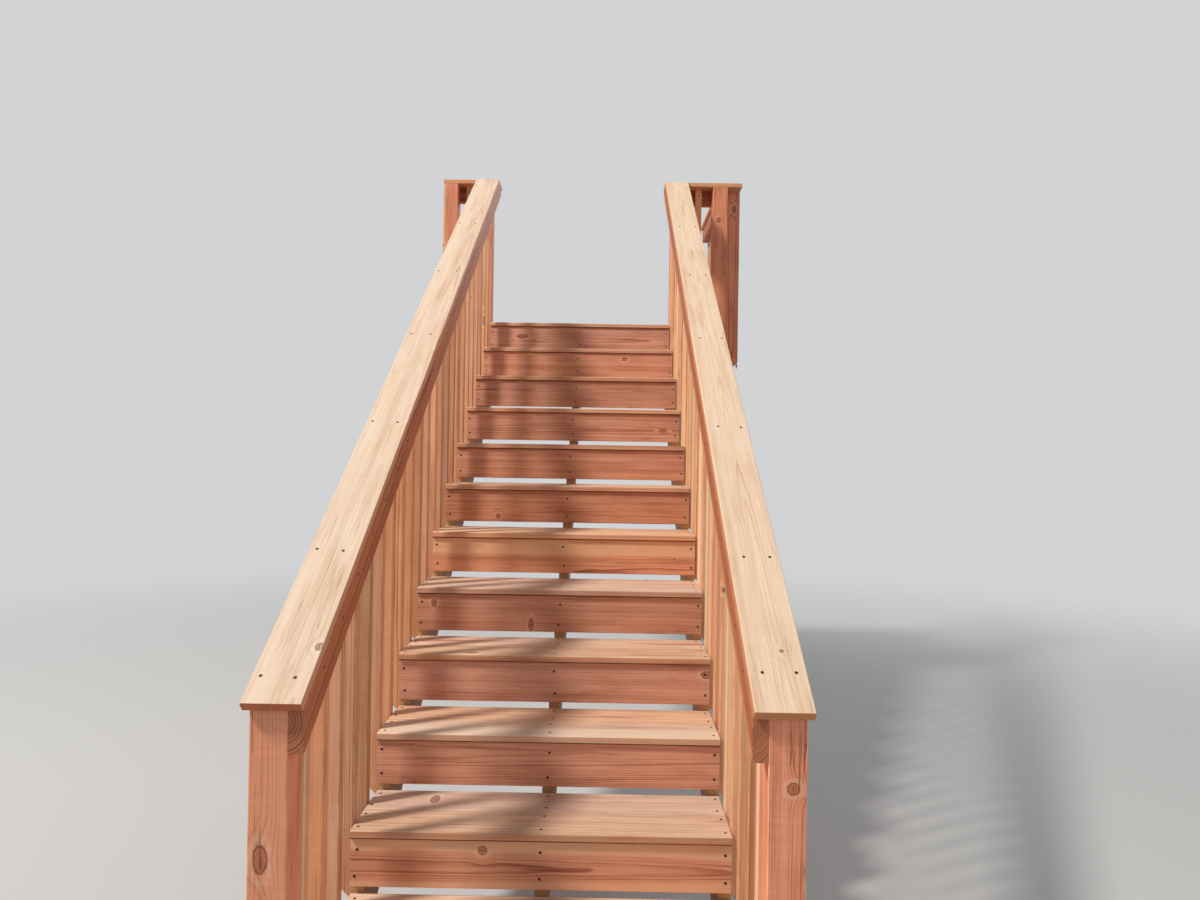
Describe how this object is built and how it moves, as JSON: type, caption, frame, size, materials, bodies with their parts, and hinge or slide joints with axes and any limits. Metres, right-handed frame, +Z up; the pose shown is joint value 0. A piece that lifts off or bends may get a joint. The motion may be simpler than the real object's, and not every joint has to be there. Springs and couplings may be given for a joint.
{
  "type": "wooden deck stairs",
  "caption": "Straight wooden deck stairs with open slots under the risers, slatted guards with flat board caps, square newels and a short landing with level guards.",
  "frame": {"origin": "back face of the landing's rear header, at its mid height and on the centre line of the flight; the deck carries the stairs there", "axes": "+X to the right as seen from the foot, +Y up the flight towards the deck, +Z up"},
  "size_m": [1.833, 4.118, 3.324],
  "materials": {
    "frame_wood": "planed redwood, unpainted",
    "board_wood": "planed redwood, unpainted",
    "riser_wood": "planed redwood, unpainted",
    "post_wood": "planed redwood, unpainted",
    "rail_wood": "planed redwood, unpainted",
    "baluster_wood": "planed redwood, unpainted",
    "cap_wood": "planed redwood, unpainted"
  },
  "bodies": {
    "root": {"stringer_left": "frame_wood", "stringer_middle": "frame_wood", "stringer_right": "frame_wood", "tread_01": "board_wood", "tread_02": "board_wood", "tread_03": "board_wood", "tread_04": "board_wood", "tread_05": "board_wood", "tread_06": "board_wood", "tread_07": "board_wood", "tread_08": "board_wood", "tread_09": "board_wood", "tread_10": "board_wood", "tread_11": "board_wood", "tread_12": "board_wood", "risers": "riser_wood", "rim_joist": "frame_wood", "rear_header": "frame_wood", "joists": "frame_wood", "side_joist": "frame_wood", "landing_boards": "board_wood", "newel_left": "post_wood", "newel_right": "post_wood", "top_newel_left": "post_wood", "top_newel_right": "post_wood", "rail_left": "rail_wood", "rail_right": "rail_wood", "cap_left": "cap_wood", "cap_right": "cap_wood", "top_cap_left": "cap_wood", "top_cap_right": "cap_wood", "balusters_left": "baluster_wood", "balusters_right": "baluster_wood", "end_post_left": "post_wood", "corner_post_front": "post_wood", "corner_post_side": "post_wood", "return_rails": "rail_wood", "return_caps": "cap_wood", "return_balusters": "baluster_wood", "side_rail": "rail_wood", "side_cap": "cap_wood", "side_balusters": "baluster_wood"}
  },
  "joints": []
}
